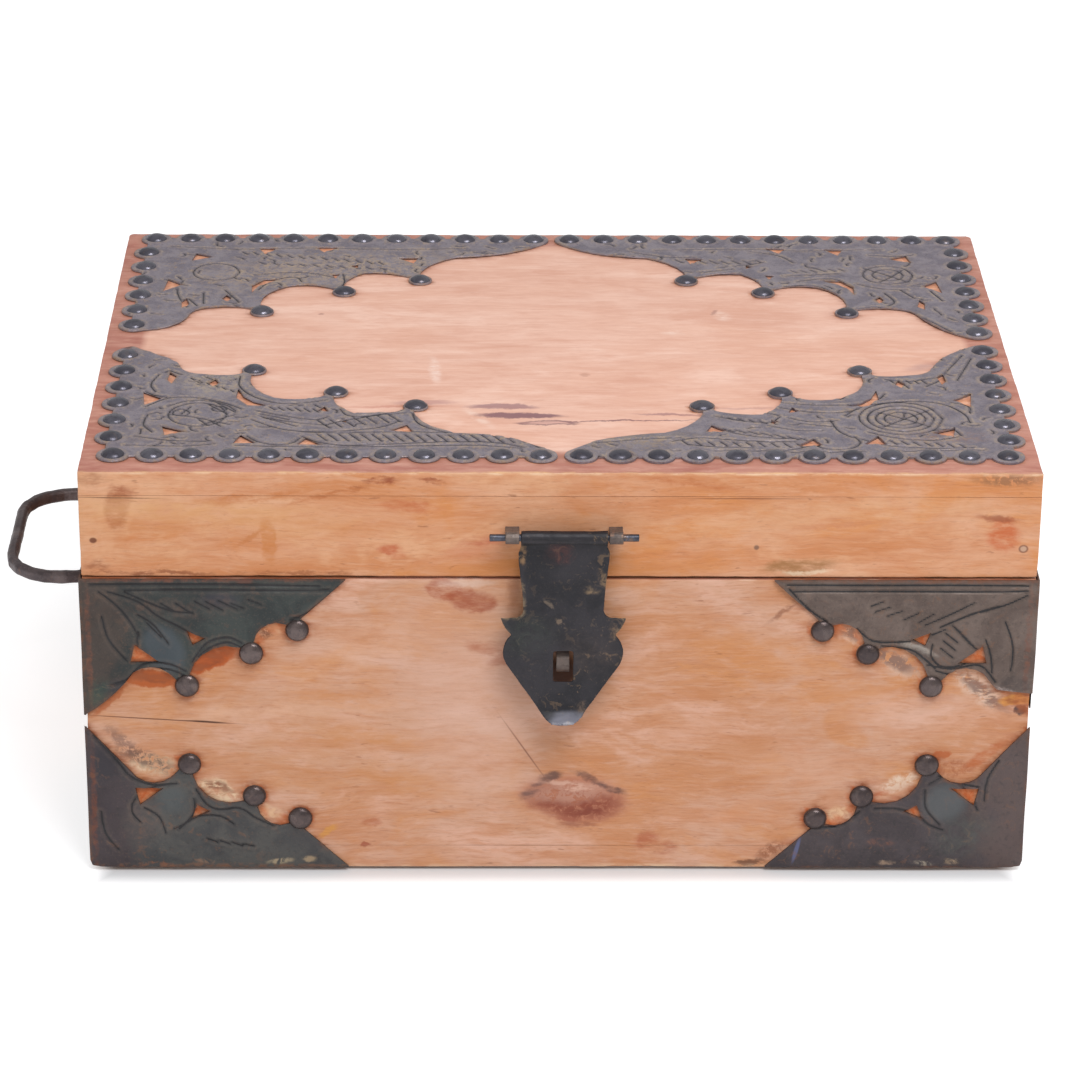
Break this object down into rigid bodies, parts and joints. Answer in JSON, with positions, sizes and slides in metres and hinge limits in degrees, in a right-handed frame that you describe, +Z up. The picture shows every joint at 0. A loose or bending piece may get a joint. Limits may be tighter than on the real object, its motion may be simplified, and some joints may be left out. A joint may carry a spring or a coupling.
{
  "type": "chest",
  "caption": "Wooden chest with hinged lid, pierced and chased iron corner plates, domed studs, a pin-hung hasp over a lock staple and two bail handles.",
  "frame": {"origin": "centre of the chest's underside", "axes": "+Z up; the front, with the hasp, faces -Y; +X to the right of someone who faces the front"},
  "size_m": [0.513, 0.3443, 0.2128],
  "materials": {
    "stained_wood": "worn stain, satin",
    "plain_wood": "bare, darkened",
    "sheet_iron": "chased sheet, dark worn patina",
    "stud_iron": "rubbed smooth",
    "forged_iron": "forged, dark patina"
  },
  "bodies": {
    "body": {"bottom_board": "plain_wood", "body_front_board": "stained_wood", "body_back_board": "plain_wood", "body_left_board": "stained_wood", "body_right_board": "stained_wood", "corner_plate_front_left_upper": "sheet_iron", "corner_plate_front_left_lower": "sheet_iron", "corner_plate_front_right_upper": "sheet_iron", "corner_plate_front_right_lower": "sheet_iron", "corner_plate_back_left_upper": "sheet_iron", "corner_plate_back_left_lower": "sheet_iron", "corner_plate_back_right_upper": "sheet_iron", "corner_plate_back_right_lower": "sheet_iron", "front_studs": "stud_iron", "left_side_studs": "stud_iron", "right_side_studs": "stud_iron", "lock_staple": "forged_iron", "left_handle_eye_front": "forged_iron", "left_handle_eye_back": "forged_iron", "right_handle_eye_front": "forged_iron", "right_handle_eye_back": "forged_iron", "left_hinge_body_leaf": "forged_iron", "right_hinge_body_leaf": "forged_iron", "left_hinge_pin": "forged_iron", "right_hinge_pin": "forged_iron", "hinge_nails_body": "forged_iron"},
    "lid": {"lid_top_board": "stained_wood", "lid_front_board": "stained_wood", "lid_back_board": "plain_wood", "lid_left_board": "stained_wood", "lid_right_board": "stained_wood", "lid_plate_front_left": "sheet_iron", "lid_plate_front_right": "sheet_iron", "lid_plate_back_left": "sheet_iron", "lid_plate_back_right": "sheet_iron", "lid_studs_front_left": "stud_iron", "lid_studs_front_right": "stud_iron", "lid_studs_back_left": "stud_iron", "lid_studs_back_right": "stud_iron", "hasp_pin": "forged_iron", "hasp_eye_left": "forged_iron", "hasp_eye_right": "forged_iron", "left_hinge_lid_leaf": "forged_iron", "right_hinge_lid_leaf": "forged_iron", "hinge_nails_lid": "forged_iron"},
    "hasp": {"hasp_plate": "forged_iron"},
    "left_handle": {"left_bail": "forged_iron"},
    "right_handle": {"right_bail": "forged_iron"}
  },
  "joints": [
    {"name": "lid_hinge", "type": "hinge", "parent": "body", "child": "lid", "pos_m": [0, 0.16286, 0.1552], "axis": [-1, 0, 0], "range_deg": [0, 180]},
    {"name": "hasp_swing", "type": "hinge", "parent": "lid", "child": "hasp", "pos_m": [0.0016, -0.169, 0.1804], "axis": [-1, 0, 0], "range_deg": [-6.5, 195]},
    {"name": "left_bail_swing", "type": "hinge", "parent": "body", "child": "left_handle", "pos_m": [-0.233, 0, 0.1045], "axis": [0, 1, 0], "range_deg": [-90, 90]},
    {"name": "right_bail_swing", "type": "hinge", "parent": "body", "child": "right_handle", "pos_m": [0.233, 0, 0.1045], "axis": [0, -1, 0], "range_deg": [0, 180]}
  ]
}
